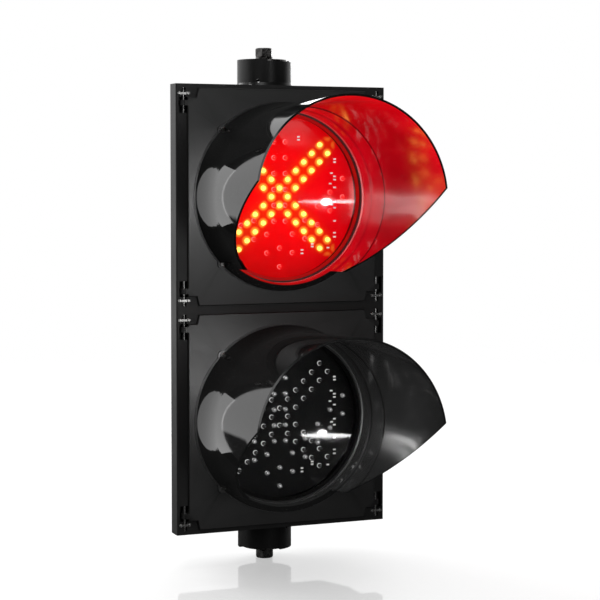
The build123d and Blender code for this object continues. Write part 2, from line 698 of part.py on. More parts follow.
def driver_parts():
    """Transformer, capacitors and a row of power resistors on the driver board's front."""
    transformer = block(TRANSFORMER_X, (DRIVER_FRONT - TRANSFORMER_HEIGHT, DRIVER_FRONT), TRANSFORMER_Z)
    can = disc_y(CAPACITOR_RADIUS, DRIVER_FRONT - CAPACITOR_HEIGHT, DRIVER_FRONT)
    capacitors = [Pos(x, 0, CAPACITOR_Z) * can for x in CAPACITOR_X]
    body = block((0, BALLAST_WIDTH), (DRIVER_FRONT - BALLAST_WIDTH, DRIVER_FRONT), BALLAST_Z)
    ballasts = [Pos(BALLAST_START + BALLAST_PITCH * step, 0, 0) * body for step in range(BALLASTS)]
    return group([transformer] + capacitors + ballasts)


def driver_screws():
    screw = pan_screw(DRIVER_FRONT, driver_screw_end())
    return group([Pos(x, 0, z) * screw for x, z in driver_posts()])


def module_clip(angle):
    """A flat clip from a boss on the door to the module's rim."""
    depth = (MODULE_FLANGE_BACK, MODULE_FLANGE_BACK + CLIP_THICKNESS)
    clip = block((CLIP_INNER, BOSS_RING + BOSS_RADIUS), depth, (-CLIP_WIDTH / 2, CLIP_WIDTH / 2))
    clip -= Pos(BOSS_RING, 0, 0) * disc_y(SCREW_SHANK, *depth)
    return Rot(Y=-angle) * clip


# ---- hubs and bolts, in a frame with z = 0 at the housing's wall and z up towards the hub's end ----

def hub_screw_places():
    return [at_angle(angle, HUB_SCREW_RING) for angle in SCREW_ANGLES]


def hub():
    """A hollow round hub: flared foot, spigot into the wire hole and a thick end plate with a notch."""
    outer = make_face(Polyline(
        (0, -HUB_SPIGOT), (WIRE_HOLE_RADIUS - DOOR_GAP, -HUB_SPIGOT), (WIRE_HOLE_RADIUS - DOOR_GAP, 0),
        (HUB_BASE_RADIUS, 0), (HUB_RADIUS, HUB_BASE_HEIGHT), (HUB_RADIUS, HUB_HEIGHT), (0, HUB_HEIGHT),
        close=True,
    ))
    shape = revolve(Plane.XZ * outer, Axis.Z)
    bore = WIRE_HOLE_RADIUS - HUB_WALL
    shape -= rod_z(bore, -HUB_SPIGOT, HUB_HEIGHT - HUB_PLATE)
    shape -= rod_z(BOLT_HOLE_RADIUS, 0, HUB_HEIGHT + STEP_MARGIN)
    rim_span = (washer_seat(), HUB_HEIGHT + STEP_MARGIN)
    shape -= rod_z(WASHER_RADIUS + DOOR_GAP, *rim_span)
    shape -= block((HUB_RIM_CUT_X, 2 * HUB_RADIUS), (-2 * HUB_RADIUS, 0), rim_span)
    for offset, height in HUB_HOLES:
        hole = disc_y(HUB_HOLE_RADIUS, -2 * HUB_RADIUS, 2 * HUB_RADIUS)
        shape -= Rot(Z=HUB_HOLE_TURN) * Pos(offset, 0, height) * hole
    for x, y in hub_screw_places():
        shape -= rod_z(SCREW_SHANK, 0, HUB_SCREW_GRIP, x, y)
    return shape


def hub_screws():
    """Four screws from inside the housing into the hub's foot."""
    shank = rod_z(SCREW_SHANK, -WALL, HUB_SCREW_GRIP)
    screw = shank + rod_z(HUB_SCREW_HEAD, -WALL - SCREW_SHANK, -WALL)
    return [Pos(x, y, 0) * screw for x, y in hub_screw_places()]


def washer_seat():
    return HUB_HEIGHT - HUB_RIM_HEIGHT


def hub_washer():
    low = washer_seat()
    high = low + WASHER_THICKNESS
    return rod_z(WASHER_RADIUS, low, high) - rod_z(BOLT_HOLE_RADIUS, low, high)


def spring_washer():
    """A split washer: a thick ring with a slanted gap."""
    low = washer_seat() + WASHER_THICKNESS
    high = low + SPRING_WASHER_THICKNESS
    ring = rod_z(SPRING_WASHER_RADIUS, low, high) - rod_z(BOLT_HOLE_RADIUS, low, high)
    gap = Rot(Y=SPRING_SLANT) * Box(SPRING_GAP, 2 * SPRING_WASHER_RADIUS, 3 * SPRING_WASHER_THICKNESS)
    return ring - Pos(0, -SPRING_WASHER_RADIUS, (low + high) / 2) * gap


def hub_bolt():
    """Hex-head bolt that clamps a bracket on the hub's end."""
    seat = washer_seat() + WASHER_THICKNESS + SPRING_WASHER_THICKNESS
    return hex_z(HEX_ACROSS, seat, HEX_HEIGHT) + rod_z(BOLT_RADIUS, seat - BOLT_LENGTH, seat)


def hub_nut():
    """The nut inside the hub, against its end plate."""
    high = HUB_HEIGHT - HUB_PLATE
    return hex_z(HEX_ACROSS, high - NUT_HEIGHT, NUT_HEIGHT) - rod_z(BOLT_RADIUS, 0, HUB_HEIGHT)


def at_both_ends(solids):
    """The same pieces on the top of the head and, upside down, on its bottom."""
    top = [Pos(0, 0, HEAD_TOP) * solid for solid in solids]
    bottom = [Pos(0, 0, HUB_HEIGHT) * Rot(Y=180) * solid for solid in solids]
    return group(top + bottom)


# ---- what joins the two sections, z = 0 at the joint ----

def joint_hardware():
    """Bolts and nuts through the two walls that meet at the joint."""
    bolts = []
    nuts = []
    for x, y in joint_bolt_places():
        place = Pos(x, y - HUB_SETBACK, HUB_HEIGHT + SECTION)
        bolt = hex_z(JOINT_HEX_ACROSS, WALL, JOINT_HEX_HEIGHT)
        bolt += rod_z(JOINT_BOLT_RADIUS, -WALL - 2 * JOINT_HEX_HEIGHT, WALL)
        nut = hex_z(JOINT_HEX_ACROSS, -WALL - JOINT_HEX_HEIGHT, JOINT_HEX_HEIGHT)
        nut -= rod_z(JOINT_BOLT_RADIUS, -WALL - 2 * JOINT_HEX_HEIGHT, WALL)
        bolts.append(place * bolt)
        nuts.append(place * nut)
    return group(bolts), group(nuts)


# ---- terminal block, on the lower housing's back wall ----

def terminal_places():
    """x and z of the terminal screws, two for each terminal."""
    columns = [(step - (TERMINALS - 1) / 2) * TERMINAL_PITCH for step in range(TERMINALS)]
    return [(x, TERMINAL_Z + side * TERMINAL_HEIGHT / 4) for x in columns for side in SIDES]


def terminal_block():
    back = BODY_DEPTH - WALL
    front = back - TERMINAL_DEPTH
    half_width = TERMINALS * TERMINAL_PITCH / 2 + TERMINAL_END
    shape = block(
        (-half_width, half_width), (front, back),
        (TERMINAL_Z - TERMINAL_HEIGHT / 2, TERMINAL_Z + TERMINAL_HEIGHT / 2),
    )
    for x, z in terminal_places():
        shape -= Pos(x, 0, z) * disc_y(screw_head_radius(), front - STEP_MARGIN, front + TERMINAL_WELL)
    return shape


def terminal_screws():
    seat = BODY_DEPTH - WALL - TERMINAL_DEPTH + TERMINAL_WELL
    radius = screw_head_radius()
    slot_depth = (seat - TERMINAL_SCREW - STEP_MARGIN, seat - TERMINAL_SCREW / 2)
    slot = block((-radius, radius), slot_depth, (-TERMINAL_SLOT_HALF, TERMINAL_SLOT_HALF))
    screw = disc_y(radius, seat - TERMINAL_SCREW, seat) - slot
    return group([Pos(x, 0, z) * screw for x, z in terminal_places()])


# ---- the whole head ----

def section_nodes(section):
    """Every node of one section, in the section's frame."""
    nodes = {
        "housing": housing(section),
        "door": door(),
        "door_gasket": seal_ring(),
        "hinge_pins": group([pin(-1, end) for end in SIDES]),
        "pin_clips": group([pin_clip(side, end) for side in SIDES for end in SIDES]),
        "pin_clip_screws": group(
            [screw for side in SIDES for end in SIDES for screw in pin_clip_screws(side, end)],
        ),
        "latch_pin_high": pin(1, 1),
        "latch_pin_low": pin(1, -1),
        "visor": visor(section),
        "visor_screws": ring_of(
            lambda: pan_screw(DOOR_FRONT - VISOR_FLANGE, visor_screw_end()), VISOR_SCREW_RADIUS,
        ),
        "lens_gasket": lens_gasket(),
        "lens": lens(),
        "module_shell": module_shell(),
        "led_board": disc_y(BOARD_RADIUS, BOARD_FRONT, BOARD_BACK),
        "cross_leds": leds_at(led_places_cross()),
        "arrow_leds": leds_at(led_places_arrow()),
        "resistors": resistors(),
        "driver_board": driver_board(),
        "driver_parts": driver_parts(),
        "driver_screws": driver_screws(),
        "module_clips": group([module_clip(angle) for angle in SCREW_ANGLES]),
        "clip_screws": ring_of(
            lambda: back_screw(MODULE_FLANGE_BACK + CLIP_THICKNESS, LENS_BACK), BOSS_RING,
        ),
    }
    return {f"{name}_{section}": to_row(shape, section) for name, shape in nodes.items()}


def shared_nodes():
    """The hubs, the joint between the sections and the terminal block."""
    joint_bolts, joint_nuts = joint_hardware()
    seal = joint_ring(HALF_SECTION - JOINT_SEAL_DEPTH, HALF_SECTION)
    return {
        "hub_top": Pos(0, 0, HEAD_TOP) * hub(),
        "hub_bottom": Pos(0, 0, HUB_HEIGHT) * Rot(Y=180) * hub(),
        "hub_screws": at_both_ends(hub_screws()),
        "hub_washers": at_both_ends([hub_washer()]),
        "hub_spring_washers": at_both_ends([spring_washer()]),
        "hub_bolts": at_both_ends([hub_bolt()]),
        "hub_nuts": at_both_ends([hub_nut()]),
        "section_gasket": to_row(seal, "lower"),
        "section_bolts": joint_bolts,
        "section_nuts": joint_nuts,
        "terminal_block": to_row(terminal_block(), "lower"),
        "terminal_screws": to_row(terminal_screws(), "lower"),
    }


def main():
    os.makedirs("parts", exist_ok=True)
    nodes = shared_nodes()
    for section in SECTION_MIDDLES:
        nodes.update(section_nodes(section))
    for name, shape in nodes.items():
        export_step(shape, f"parts/{name}.step")
    print(len(nodes), "nodes")


main()
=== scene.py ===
import math
from collections import namedtuple

import bpy
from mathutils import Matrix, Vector


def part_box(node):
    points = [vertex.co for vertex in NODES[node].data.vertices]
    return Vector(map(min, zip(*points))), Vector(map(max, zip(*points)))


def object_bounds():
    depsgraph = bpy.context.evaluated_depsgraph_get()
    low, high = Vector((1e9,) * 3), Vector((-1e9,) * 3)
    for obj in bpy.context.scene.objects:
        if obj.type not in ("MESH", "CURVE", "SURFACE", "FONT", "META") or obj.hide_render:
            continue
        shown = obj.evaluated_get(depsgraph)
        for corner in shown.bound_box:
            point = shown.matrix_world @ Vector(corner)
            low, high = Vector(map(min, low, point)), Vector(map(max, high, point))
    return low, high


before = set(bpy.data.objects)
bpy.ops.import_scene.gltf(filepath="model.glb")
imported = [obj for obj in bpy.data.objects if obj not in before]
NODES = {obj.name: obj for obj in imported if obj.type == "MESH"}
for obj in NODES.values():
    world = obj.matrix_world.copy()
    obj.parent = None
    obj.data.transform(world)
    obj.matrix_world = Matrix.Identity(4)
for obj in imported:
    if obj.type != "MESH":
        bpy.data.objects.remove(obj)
CAD_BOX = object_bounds()

SECTIONS = ("lower", "upper")
MM = 0.001

# The camera, as the photograph was taken: seen from the left and a little above.
VIEW_AZIMUTH = math.radians(-22.43)
VIEW_PITCH = math.radians(2.711)
VIEW_DISTANCE = 2.0122
VIEW_TARGET = Vector((0.02157, -0.058, 0.34033))
LENS_MM = 104.94
SENSOR_MM = 36.0
SHIFT_UP = -0.0667
CLIP_END = 100.0

# Sizes of the part that the materials follow.
COLLAR_RADIUS = 99.5 * MM      # just outside the inner face of a visor's collar, round the lens
FLANGE_AHEAD = 10.0 * MM       # just in front of a visor's flange, from the lens's middle
FLANGE_BLEND = 2.0 * MM        # over which the flange's finish turns into the hood's
HOOD_FLARE = 0.042             # growth of a hood's radius per metre forward
LED_LATTICE = 10.0 * MM        # half the pitch of the cross's LEDs
LED_FOOT_BEHIND = 7.1 * MM     # from the lens's middle back to the front of the LEDs' feet
LED_FOOT_BLEND = 0.3 * MM

# The studio, as brightness: dark in front of the part, pale behind it and above the horizon.
STUDIO_FRONT = 0.03
STUDIO_BACK = 0.95
STUDIO_TURN = (-0.15, 0.30)    # y of the directions between which the front turns into the back
HORIZON = -0.13                # z of the directions where the pale backdrop ends below
HORIZON_BLEND = 0.01
FLOOR_RADIUS = 2.4
FLOOR_RIM_POINTS = 96
FLOOR_FADE = (0.5, 2.3)        # distances from the part between which the floor fades away

# The lamps that show as glints, streaks and soft patches, measured from the middle of a lens's front.
Glint = namedtuple("Glint", "across up width height power")
LENS_GLINTS = {
    "upper": (
        Glint(across=0.055, up=-0.006, width=0.018, height=0.012, power=0.06),
        Glint(across=0.065, up=-0.006, width=0.13, height=0.005, power=0.018),
    ),
    "lower": (
        Glint(across=0.050, up=-0.020, width=0.014, height=0.008, power=0.03),
        Glint(across=0.055, up=-0.024, width=0.09, height=0.008, power=0.03),
    ),
}
GLINT_DISTANCE = 1.1
Streak = namedtuple("Streak", "angle depth width height")
WALL_STREAKS = {
    "upper": Streak(angle=math.radians(-4), depth=0.12, width=0.14, height=0.004),
    "lower": Streak(angle=math.radians(-12), depth=0.13, width=0.05, height=0.005),
}
STREAK_DISTANCE = 0.3
STREAK_POWER = 0.2
Sheen = namedtuple("Sheen", "up power")
DOOR_SHEENS = {"upper": Sheen(up=0.0, power=0.16), "lower": Sheen(up=62 * MM, power=0.13)}
SHEEN_X = -100 * MM
SHEEN_SIZE = 0.06
SHEEN_DISTANCE = 0.25

# The lamp that carries the backdrop's reflection on to the flange, on the left of each hood.
LEAF_BELOW = 45 * MM           # from the lens's middle down to its lower edge
LEAF_ABOVE = 50 * MM
LEAF_GAP = 3.5 * MM            # between the flange and the lamp
LEAF_AHEAD = 0.5 * MM          # in front of the door


# ---------------------------------------------------------------- camera

def view_back(azimuth, pitch):
    """The direction from a target to a camera or lamp at an azimuth and pitch round it."""
    flat = math.cos(pitch)
    return Vector((math.sin(azimuth) * flat, -math.cos(azimuth) * flat, math.sin(pitch)))


def make_camera():
    data = bpy.data.cameras.new("camera")
    data.lens = LENS_MM
    data.sensor_width = SENSOR_MM
    data.shift_y = SHIFT_UP
    data.clip_end = CLIP_END
    camera = bpy.data.objects.new("camera", data)
    bpy.context.scene.collection.objects.link(camera)
    back = view_back(VIEW_AZIMUTH, VIEW_PITCH)
    camera.location = VIEW_TARGET + back * VIEW_DISTANCE
    camera.rotation_mode = "QUATERNION"
    camera.rotation_quaternion = back.to_track_quat("Z", "Y")
    bpy.context.scene.camera = camera


# ---------------------------------------------------------------- places on the part

def lens_middle(section):
    low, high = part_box(f"lens_{section}")
    return (low + high) / 2


def lens_front(section):
    """The middle of a lens's front face."""
    middle = lens_middle(section)
    return Vector((middle.x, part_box(f"lens_{section}")[0].y, middle.z))


# ---------------------------------------------------------------- node helpers

def grey(level):
    return (level, level, level)


class Nodes:
    """A node tree under construction, with short ways to add nodes."""

    def __init__(self, tree):
        self.tree = tree
        self.tree.nodes.clear()

    def add(self, kind, **settings):
        node = self.tree.nodes.new(kind)
        for key, value in settings.items():
            setattr(node, key, value)
        return node

    def link(self, source, target):
        self.tree.links.new(source, target)

    def feed(self, value, socket):
        """A socket takes another node's output, or a plain value."""
        if isinstance(value, bpy.types.NodeSocket):
            self.link(value, socket)
        else:
            socket.default_value = value

    def between(self, value, low, high, new_low, new_high):
        """value's range low to high, spread over new_low to new_high."""
        node = self.add("ShaderNodeMapRange")
        self.link(value, node.inputs["Value"])
        node.inputs["From Min"].default_value = low
        node.inputs["From Max"].default_value = high
        node.inputs["To Min"].default_value = new_low
        node.inputs["To Max"].default_value = new_high
        return node.outputs["Result"]

    def share(self, value, low, high):
        """0 where the value is at low and 1 where it is at high."""
        return self.between(value, low, high, 0.0, 1.0)

    def fade(self, value, low, high):
        """1 where the value is at low and 0 where it is at high."""
        return self.between(value, low, high, 1.0, 0.0)

    def math(self, operation, first, second=None):
        node = self.add("ShaderNodeMath", operation=operation)
        self.feed(first, node.inputs[0])
        if second is not None:
            self.feed(second, node.inputs[1])
        return node.outputs["Value"]

    def sum(self, *values):
        total = values[0]
        for value in values[1:]:
            total = self.math("ADD", total, value)
        return total

    def times(self, value, factor):
        return self.math("MULTIPLY", value, factor)

    def larger(self, first, second):
        return self.math("MAXIMUM", first, second)

    def size_of(self, value):
        """The value without its sign."""
        return self.math("ABSOLUTE", value)

    def vectors(self, operation, first, second=None):
        """A vector sum, product, length or the like: the node's outputs."""
        node = self.add("ShaderNodeVectorMath", operation=operation)
        self.feed(first, node.inputs[0])
        if second is not None:
            self.feed(second, node.inputs[1])
        return node.outputs

    def split(self, vector):
        """The x, y and z of a vector."""
        node = self.add("ShaderNodeSeparateXYZ")
        self.link(vector, node.inputs[0])
        return node.outputs


class Shader(Nodes):
    """A material under construction, with its Principled node as main."""

    def __init__(self, name):
        self.material = bpy.data.materials.new(name)
        self.material.use_nodes = True
        super().__init__(self.material.node_tree)
        output = self.add("ShaderNodeOutputMaterial")
        self.main = self.add("ShaderNodeBsdfPrincipled")
        self.link(self.main.outputs["BSDF"], output.inputs["Surface"])
        self.coordinates = self.add("ShaderNodeTexCoord").outputs
        self.place = self.coordinates["Object"]

    def set(self, **values):
        """Values for the Principled node's sockets; an underscore in a name stands for a space."""
        for key, value in values.items():
            self.feed(value, self.main.inputs[key.replace("_", " ")])

    def noise(self, size, detail=3.0, stretch=None):
        """Noise whose blobs are about size metres across, stretched along one axis if asked."""
        texture = self.add("ShaderNodeTexNoise")
        texture.inputs["Scale"].default_value = 1.0 / size
        texture.inputs["Detail"].default_value = detail
        texture.inputs["Roughness"].default_value = 0.55
        source = self.place
        if stretch is not None:
            mapping = self.add("ShaderNodeMapping")
            mapping.inputs["Scale"].default_value = stretch
            self.link(self.place, mapping.inputs["Vector"])
            source = mapping.outputs["Vector"]
        self.link(source, texture.inputs["Vector"])
        return texture.outputs["Fac"]

    def vary(self, noise, low, high):
        """The range that most of a noise's values lie in, spread over low to high."""
        return self.between(noise, 0.3, 0.7, low, high)

    def patchy(self, noise, first, second):
        """Two colours in patches, with short transitions."""
        return self.blend(self.share(noise, 0.35, 0.65), first, second)

    def cells(self, size):
        """Distance to the nearest cell centre, for grain pitted like a spark-eroded mould."""
        texture = self.add("ShaderNodeTexVoronoi")
        texture.inputs["Scale"].default_value = 1.0 / size
        self.link(self.place, texture.inputs["Vector"])
        return texture.outputs["Distance"]

    def blend(self, amount, first, second):
        """A colour between two colours (or colour sockets), by amount."""
        node = self.add("ShaderNodeMix", data_type="RGBA")
        self.link(amount, node.inputs["Factor"])
        for value, socket in ((first, node.inputs["A"]), (second, node.inputs["B"])):
            plain = not isinstance(value, bpy.types.NodeSocket)
            self.feed((*value, 1.0) if plain else value, socket)
        return node.outputs["Result"]

    def bump(self, height, depth):
        """Bump from a height that runs from 0 to 1, depth metres deep."""
        node = self.add("ShaderNodeBump")
        node.inputs["Strength"].default_value = 1.0
        node.inputs["Distance"].default_value = depth
        self.link(height, node.inputs["Height"])
        self.link(node.outputs["Normal"], self.main.inputs["Normal"])

    def from_lens(self, section):
        """Place measured from the middle of a section's lens, as a vector and as its three parts."""
        offset = self.vectors("SUBTRACT", self.place, lens_middle(section))["Vector"]
        return offset, self.split(offset)

    def across_axis(self, offset):
        """A vector without its part along y, and its length: the distance from the lens axis."""
        flat = self.vectors("MULTIPLY", offset, (1.0, 0.0, 1.0))["Vector"]
        return flat, self.vectors("LENGTH", flat)["Value"]

    def inside_share(self, section):
        """1 where a visor faces its own axis or lies within its collar, 0 outside."""
        offset, _ = self.from_lens(section)
        flat, radius = self.across_axis(offset)
        facing = self.vectors("DOT_PRODUCT", flat, self.coordinates["Normal"])["Value"]
        inward = self.share(facing, -0.02, -0.04)
        return self.larger(inward, self.fade(radius, COLLAR_RADIUS, COLLAR_RADIUS + MM))

    def flange_share(self, section):
        """1 on the visor's flange, 0 on its hood, by the distance in front of the lens."""
        _, (_, along, _) = self.from_lens(section)
        return self.share(along, -FLANGE_AHEAD - FLANGE_BLEND, -FLANGE_AHEAD)

    def edge_highlight_share(self):
        """1 on sharp outer edges, where a highlight is painted, 0 elsewhere."""
        geometry = self.add("ShaderNodeNewGeometry")
        return self.share(geometry.outputs["Pointiness"], 0.51, 0.58)


# ---------------------------------------------------------------- plastics and rubber

def moulded_plastic(name, dark, light, edge_highlight, roughness, grain, depth):
    """Moulded plastic: fine eroded grain, patchy colour and gloss, sharp edges painted a little lighter as a
    highlight.
    """
    shader = Shader(name)
    patches = shader.noise(60 * MM, detail=4.0)
    fine = shader.noise(1.2 * MM, detail=2.0)
    colour = shader.patchy(patches, dark, light)
    gloss = shader.sum(
        shader.vary(patches, roughness - 0.05, roughness + 0.05),
        shader.vary(fine, -0.03, 0.03),
    )
    shader.set(
        # Painted highlight: sharp outer edges are lightened towards the edge highlight colour.
        Base_Color=shader.blend(shader.times(shader.edge_highlight_share(), 0.5), colour, edge_highlight),
        Roughness=gloss, IOR=1.5,
    )
    shader.bump(shader.sum(shader.cells(grain), shader.noise(grain * 2.5)), depth)
    return shader.material


def visor_plastic(section, inside_painted_tone, lit):
    """Polished black plastic, satin on the flange and duller inside: orange peel, wiping marks, dust. Its
    inside is painted lighter in the lower hood to lift the shade there, and red in the upper one for the red
    light there; when lit it also gets a painted red glow.
    """
    shader = Shader(f"visor_plastic_{section}")
    flange = shader.flange_share(section)
    inside = shader.inside_share(section)
    # Smear noise sets the wiping marks' gloss, and also varies the painted red glow.
    smears_and_glow_patches = shader.noise(25 * MM, detail=5.0, stretch=(1.0, 0.25, 1.0))
    dust = shader.share(shader.noise(0.8 * MM, detail=1.0), 0.70, 0.78)
    # Painted light: the inside's tone stands for the lifted shade in the lower hood and for the red light in
    # the upper.
    tint = shader.blend(inside, grey(0.010), inside_painted_tone)
    tint = shader.blend(flange, tint, grey(0.024))
    gloss = shader.sum(
        shader.between(smears_and_glow_patches, 0.35, 0.7, 0.03, 0.07),
        shader.times(dust, 0.3),
        shader.times(flange, 0.30),
        shader.times(inside, 0.07),
    )
    shader.set(
        Base_Color=shader.blend(shader.times(dust, 0.25), tint, grey(0.25)),
        Roughness=gloss, IOR=1.55,
    )
    shader.bump(shader.noise(12 * MM, detail=1.0), 0.012 * MM)
    # Painted light: a red glow on the lit hood's inside.
    if lit:
        uneven = shader.between(smears_and_glow_patches, 0.35, 0.7, 0.85, 1.15)
        painted_hood_glow(shader, section, shader.times(inside, uneven))
    return shader.material


def painted_hood_glow(shader, section, share):
    """Painted red glow on the hood's own surface, for the red that a lit module throws round inside its hood:
    strong by the lens and at the hood's tip.
    """
    _, (across, along, _) = shader.from_lens(section)
    near = shader.between(along, -80 * MM, -5 * MM, 0.27, 0.50)
    tip = shader.between(along, -205 * MM, -140 * MM, 0.30, 0.0)
    rightness = shader.share(across, -60 * MM, 100 * MM)
    shader.set(
        Emission_Color=shader.blend(rightness, (1.0, 0.006, 0.0), (1.0, 0.0, 0.014)),
        Emission_Strength=shader.times(shader.sum(near, tip), share),
    )


def rubber(name, painted_red_glow=None):
    """Black rubber with a fine matt skin; the lit lens's seal is flooded with red by a painted glow."""
    shader = Shader(name)
    patches = shader.noise(12 * MM, detail=5.0)
    shader.set(
        Base_Color=shader.blend(patches, grey(0.008), (0.022, 0.021, 0.020)),
        Roughness=shader.vary(patches, 0.65, 0.85),
    )
    shader.bump(shader.noise(0.6 * MM), 0.05 * MM)
    # Painted light: red emission on the seal, which is no lamp.
    if painted_red_glow:
        shader.set(
            Emission_Color=shader.blend(patches, (1.0, 0.0, 0.01), (1.0, 0.01, 0.0)),
            Emission_Strength=shader.vary(patches, *painted_red_glow),
        )
    return shader.material


# ---------------------------------------------------------------- metals

def brushed_metal(name, dark, light, roughness, stretch):
    """Drawn or turned metal: fine lines along its length, cloudy plating, small dull spots."""
    shader = Shader(name)
    lines = shader.noise(1.0 * MM, detail=2.0, stretch=stretch)
    clouds = shader.noise(5 * MM, detail=4.0)
    gloss = shader.sum(
        shader.vary(clouds, roughness - 0.05, roughness + 0.08),
        shader.vary(lines, -0.05, 0.05),
    )
    shader.set(Base_Color=shader.patchy(clouds, dark, light), Roughness=gloss, Metallic=1.0)
    shader.bump(lines, 0.02 * MM)
    return shader.material


# ---------------------------------------------------------------- lens, boards and LEDs

def clear_plastic(name):
    """Clear moulded plastic with a slight haze: sight passes through it, and it reflects as glass does."""
    shader = Shader(name)
    haze = shader.noise(18 * MM, detail=4.0)
    shader.set(
        Base_Color=(1.0, 1.0, 1.0, 1.0), Roughness=shader.vary(haze, 0.01, 0.04),
        Transmission_Weight=1.0, IOR=1.5,
    )
    return shader.material


def glowing_led(name, foot, tip, strength):
    """A lit LED: hot near its tip and deep orange at its foot, as its dome spreads the chip's light."""
    shader = Shader(name)
    facing = shader.add("ShaderNodeLayerWeight")
    facing.inputs["Blend"].default_value = 0.25
    mottle = shader.noise(1.5 * MM)
    shader.set(
        Base_Color=(*foot, 1.0), Roughness=shader.vary(mottle, 0.05, 0.15),
        Emission_Color=shader.blend(facing.outputs["Facing"], tip, foot),
        Emission_Strength=shader.times(shader.vary(mottle, 0.9, 1.1), strength),
    )
    return shader.material


def clear_led(name, section, dome, foot, metallic, painted_red_glow=0.0):
    """An unlit LED in clear epoxy over its cup, with a colour of its foot, which on the lower cross is painted
    pale as a highlight for the bright ring its rim catches; beside the lit cross, a painted red tint and red
    glow.
    """
    shader = Shader(name)
    cup = shader.noise(2.2 * MM, detail=2.0)
    _, (_, along, _) = shader.from_lens(section)
    # The foot band; on the lower cross its pale colour is a painted highlight.
    low = shader.share(along, LED_FOOT_BEHIND, LED_FOOT_BEHIND + LED_FOOT_BLEND)
    body = shader.blend(cup, [channel * 0.5 for channel in dome], dome)
    shader.set(
        Base_Color=shader.blend(low, body, foot), Roughness=shader.vary(cup, 0.10, 0.18),
        IOR=1.5, Coat_Weight=0.6, Coat_Roughness=0.03, Metallic=metallic,
    )
    # Painted light: a red glow for the lit cross's light on its unlit neighbours.
    if painted_red_glow:
        shader.set(
            Emission_Color=shader.blend(low, (1.0, 0.004, 0.004), (1.0, 0.05, 0.05)),
            Emission_Strength=painted_red_glow,
        )
    return shader.material


def board(name, dark, light, roughness):
    """A circuit board's lacquer, with the faint weave of the glass cloth under it."""
    shader = Shader(name)
    weave = shader.noise(0.9 * MM, detail=1.0, stretch=(1.0, 1.0, 0.3))
    clouds = shader.noise(30 * MM)
    gloss = shader.sum(shader.vary(clouds, roughness - 0.05, roughness + 0.05), shader.times(weave, 0.05))
    shader.set(Base_Color=shader.patchy(clouds, dark, light), Roughness=gloss)
    shader.bump(weave, 0.02 * MM)
    return shader.material


def board_with_painted_glow(name):
    """The upper section's board, with a painted glow: flooded with the red of its LEDs, orange round each lit
    one, over a red-tinted base.
    """
    shader = Shader(name)
    offset, (across, _, up) = shader.from_lens("upper")
    _, radius = shader.across_axis(offset)
    mottle = shader.vary(shader.noise(30 * MM), -0.08, 0.08)
    flood = shader.sum(shader.between(radius, 50 * MM, 95 * MM, 1.02, 0.55), mottle)
    arms, halo = painted_cross_glow(shader, offset, across, up)
    colour = shader.blend(shader.share(across, -60 * MM, 80 * MM), (1.0, 0.0, 0.0), (1.0, 0.0, 0.004))
    colour = shader.blend(arms, colour, (1.0, 0.020, 0.0))
    colour = shader.blend(halo, colour, (1.0, 0.36, 0.035))
    # Painted light: the red base and the red and orange emission stand for the LEDs' light on the board.
    shader.set(
        Base_Color=(0.02, 0.002, 0.002, 1.0), Roughness=shader.vary(shader.noise(0.9 * MM), 0.35, 0.5),
        Specular_IOR_Level=0.1,
        Emission_Color=colour, Emission_Strength=shader.sum(flood, shader.times(halo, 0.45)),
    )
    return shader.material


def painted_cross_glow(shader, offset, across, up):
    """Two shares of the board's painted glow: a broad one along the cross's arms and a tight one round each of
    its LEDs.
    """
    wide = shader.size_of(across)
    high = shader.size_of(up)
    aside = shader.size_of(shader.sum(wide, shader.times(high, -1.0)))
    within = shader.fade(shader.larger(wide, high), 62 * MM, 70 * MM)
    arms = shader.times(shader.fade(aside, 8 * MM, 26 * MM), within)
    beside = shader.times(shader.fade(aside, 13 * MM, 17 * MM), within)
    tight = shader.fade(led_distance(shader, offset), 0.22, 0.46)
    return shader.times(arms, 0.8), shader.times(tight, beside)


def led_distance(shader, offset):
    """Distance to the nearest place of the cross's diagonal lattice, in lattice cells."""
    turned = shader.add("ShaderNodeCombineXYZ")
    half_cell = 0.5
    per_metre = half_cell / LED_LATTICE
    for axis, sign in (("X", 1.0), ("Y", -1.0)):
        along = shader.vectors("DOT_PRODUCT", offset, (per_metre, 0.0, sign * per_metre))["Value"]
        shader.link(shader.sum(along, half_cell), turned.inputs[axis])
    nearest = shader.add("ShaderNodeTexVoronoi", voronoi_dimensions="2D")
    nearest.inputs["Scale"].default_value = 1.0
    nearest.inputs["Randomness"].default_value = 0.0
    shader.link(turned.outputs["Vector"], nearest.inputs["Vector"])
    return nearest.outputs["Distance"]


# ---------------------------------------------------------------- the materials by name

